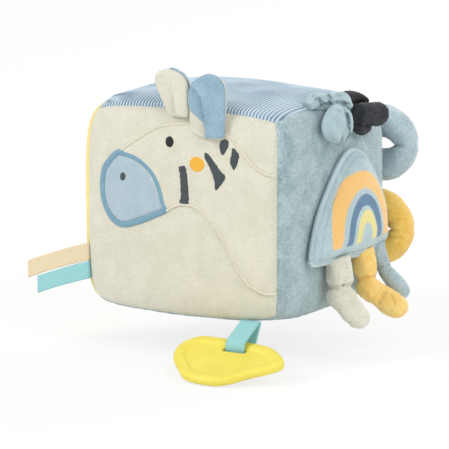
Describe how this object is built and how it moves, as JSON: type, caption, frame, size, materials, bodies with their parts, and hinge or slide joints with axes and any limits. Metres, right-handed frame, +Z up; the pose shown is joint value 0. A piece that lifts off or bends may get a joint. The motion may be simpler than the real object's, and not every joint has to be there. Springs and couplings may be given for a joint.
{
  "type": "soft fabric activity block",
  "caption": "Stuffed fabric baby cube with a zebra face, ears, rainbow flap with knotted legs, plush rings, knotted strips, ribbon tags and a teether.",
  "frame": {"origin": "middle of the flat base that the block rests on", "axes": "+Z up, the zebra face looks along -Y, the rainbow flap is on the +X side and the corduroy panel is on top"},
  "size_m": [0.255, 0.2466, 0.2075],
  "materials": {
    "filling": "matte",
    "cream_velour": "matte",
    "blue_velour": "matte",
    "yellow_cotton": "matte",
    "blue_corduroy": "matte",
    "muzzle_velour": "matte",
    "blue_thread": "satin",
    "dark_thread": "satin",
    "black_thread": "satin",
    "orange_thread": "satin",
    "blue_pile": "matte",
    "beige_ribbon": "satin",
    "turquoise_ribbon": "satin",
    "teether_rubber": "satin",
    "flap_velour": "matte",
    "cream_plush": "matte",
    "yellow_plush": "matte",
    "blue_plush": "matte",
    "blue_jersey": "matte",
    "charcoal_plush": "matte"
  },
  "bodies": {
    "block": {"filling": "filling", "front_panel": "cream_velour", "back_panel": "blue_velour", "left_panel": "yellow_cotton", "right_panel": "blue_velour", "top_panel": "blue_corduroy", "bottom_panel": "blue_velour", "zebra_head": "cream_velour", "muzzle_patch": "muzzle_velour", "muzzle_border": "blue_thread", "nostril": "dark_thread", "eye": "black_thread", "cheek": "orange_thread", "stripe_jaw": "dark_thread", "stripe_neck": "dark_thread", "stripe_brow": "dark_thread", "stripe_mane": "dark_thread"},
    "right_ear": {"right_ear_outer": "cream_velour", "right_ear_lining": "blue_pile"},
    "left_ear": {"left_ear_outer": "cream_velour", "left_ear_lining": "blue_pile"},
    "beige_tag": {"beige_tag": "beige_ribbon"},
    "turquoise_tag": {"turquoise_tag": "turquoise_ribbon"},
    "teether_ribbon": {"teether_ribbon": "turquoise_ribbon"},
    "teether": {"teether": "teether_rubber"},
    "flap": {"flap_lining": "flap_velour", "flap_wadding": "filling", "flap_front": "flap_velour"},
    "leg_cream": {"leg_cream": "cream_plush"},
    "leg_yellow": {"leg_yellow": "yellow_plush"},
    "leg_blue": {"leg_blue": "blue_plush"},
    "jersey_knot": {"jersey_knot": "blue_jersey"},
    "charcoal_knot": {"charcoal_knot": "charcoal_plush"},
    "blue_ring": {"blue_ring": "blue_plush", "blue_ring_tab": "blue_velour"},
    "yellow_ring": {"yellow_ring": "yellow_plush", "yellow_ring_tab": "blue_velour"}
  },
  "joints": [
    {"name": "right_ear_bend", "type": "hinge", "parent": "block", "child": "right_ear", "pos_m": [0.0243, -0.0872, 0.1303], "axis": [1, 0, 0], "range_deg": [-6, 65], "stiffness_Nm_per_rad": 0.02},
    {"name": "left_ear_bend", "type": "hinge", "parent": "block", "child": "left_ear", "pos_m": [-0.0005, -0.0831, 0.1448], "axis": [1, 0, 0], "range_deg": [-8, 65], "stiffness_Nm_per_rad": 0.02},
    {"name": "beige_tag_bend", "type": "hinge", "parent": "block", "child": "beige_tag", "pos_m": [-0.0752, -0.0771, 0.0398], "axis": [0, 0, 1], "range_deg": [-30, 75], "stiffness_Nm_per_rad": 0.01},
    {"name": "turquoise_tag_bend", "type": "hinge", "parent": "block", "child": "turquoise_tag", "pos_m": [-0.0752, -0.0771, 0.0266], "axis": [0, 0, 1], "range_deg": [-30, 75], "stiffness_Nm_per_rad": 0.01},
    {"name": "teether_ribbon_swing", "type": "hinge", "parent": "block", "child": "teether_ribbon", "pos_m": [0.055, -0.0757, 0.0024], "axis": [1, 0, 0], "range_deg": [-35, 35]},
    {"name": "teether_tilt", "type": "hinge", "parent": "teether_ribbon", "child": "teether", "pos_m": [0.055, -0.0915, -0.0126], "axis": [1, 0, 0], "range_deg": [-45, 45]},
    {"name": "flap_lift", "type": "hinge", "parent": "block", "child": "flap", "pos_m": [0.0861, 0.0018, 0.1156], "axis": [0, -1, 0], "range_deg": [0, 72]},
    {"name": "leg_cream_swing", "type": "hinge", "parent": "flap", "child": "leg_cream", "pos_m": [0.0956, -0.025, 0.0359], "axis": [0, -1, 0], "range_deg": [-2, 40]},
    {"name": "leg_yellow_swing", "type": "hinge", "parent": "flap", "child": "leg_yellow", "pos_m": [0.0958, 0.013, 0.0366], "axis": [0, -1, 0], "range_deg": [-2, 40]},
    {"name": "leg_blue_swing", "type": "hinge", "parent": "flap", "child": "leg_blue", "pos_m": [0.0941, 0.0365, 0.0385], "axis": [0, -1, 0], "range_deg": [-2, 40]},
    {"name": "jersey_knot_swing", "type": "hinge", "parent": "block", "child": "jersey_knot", "pos_m": [0.0756, 0, 0.1455], "axis": [0, 1, 0], "range_deg": [-18, 0]},
    {"name": "charcoal_knot_swing", "type": "hinge", "parent": "block", "child": "charcoal_knot", "pos_m": [0.0756, 0.028, 0.1437], "axis": [0, 1, 0], "range_deg": [-40, 0]},
    {"name": "blue_ring_swing", "type": "hinge", "parent": "block", "child": "blue_ring", "pos_m": [0.0756, 0.0758, 0.105], "axis": [0, 0, 1], "range_deg": [-50, 0]},
    {"name": "yellow_ring_swing", "type": "hinge", "parent": "block", "child": "yellow_ring", "pos_m": [0.0756, 0.0758, 0.0428], "axis": [0, 0, 1], "range_deg": [-50, 0]}
  ]
}
